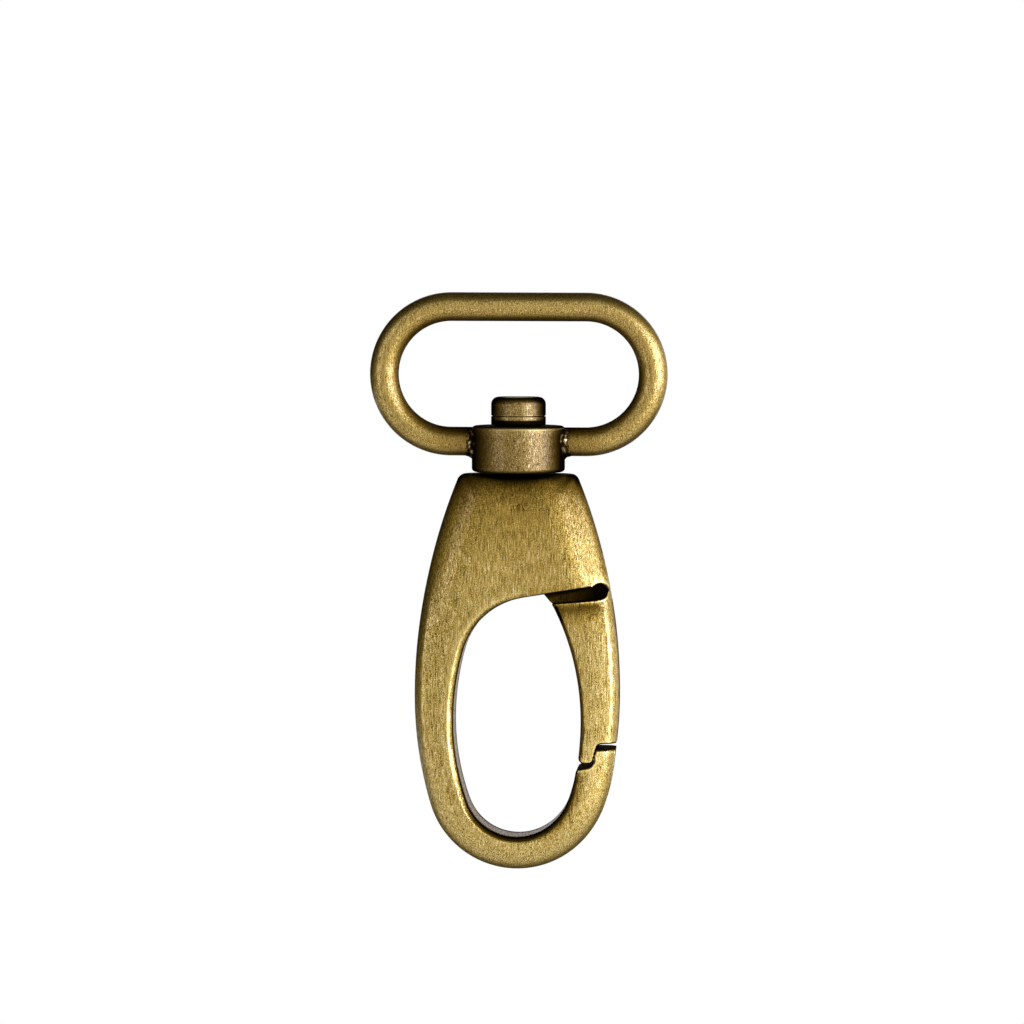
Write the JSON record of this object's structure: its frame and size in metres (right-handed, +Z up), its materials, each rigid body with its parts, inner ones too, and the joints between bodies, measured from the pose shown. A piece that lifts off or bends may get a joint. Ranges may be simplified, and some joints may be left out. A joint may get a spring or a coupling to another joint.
{
  "type": "swivel snap hook",
  "caption": "Swivel snap hook with an oval strap loop, a turning collar and a spring-closed gate that swings into the hook's eye; holds keys or a bag on a strap.",
  "frame": {"origin": "middle of the strap bar, the loop's straight upper side, where the strap pulls", "axes": "+Z up along the swivel axis, away from the hook; +X along the strap bar, towards the gate's side; the front face looks towards -Y"},
  "size_m": [0.031, 0.0096, 0.06],
  "materials": {
    "antique_brass_cast": "brushed antique brass, dark in the recesses",
    "antique_brass_wire": "brushed antique brass",
    "antique_brass_turned": "turned antique brass",
    "braze": "rough braze with dark patina",
    "steel": "drawn spring steel"
  },
  "bodies": {
    "loop": {"strap_ring": "antique_brass_wire", "braze_fillets": "braze", "swivel_collar": "antique_brass_turned"},
    "hook": {"hook_body": "antique_brass_cast", "swivel_pin": "antique_brass_turned", "gate_pin": "steel", "gate_spring": "steel"},
    "gate": {"gate": "antique_brass_cast"}
  },
  "joints": [
    {"name": "swivel", "type": "hinge", "parent": "loop", "child": "hook", "pos_m": [0, 0, -0.01475], "axis": [0, 0, 1], "continuous": true},
    {"name": "gate_open", "type": "hinge", "parent": "hook", "child": "gate", "pos_m": [0.0048, 0, -0.02735], "axis": [0, 1, 0], "range_deg": [0, 22], "stiffness_Nm_per_rad": 0.06, "springref_deg": -28.65, "deforming": ["gate_spring"]}
  ]
}
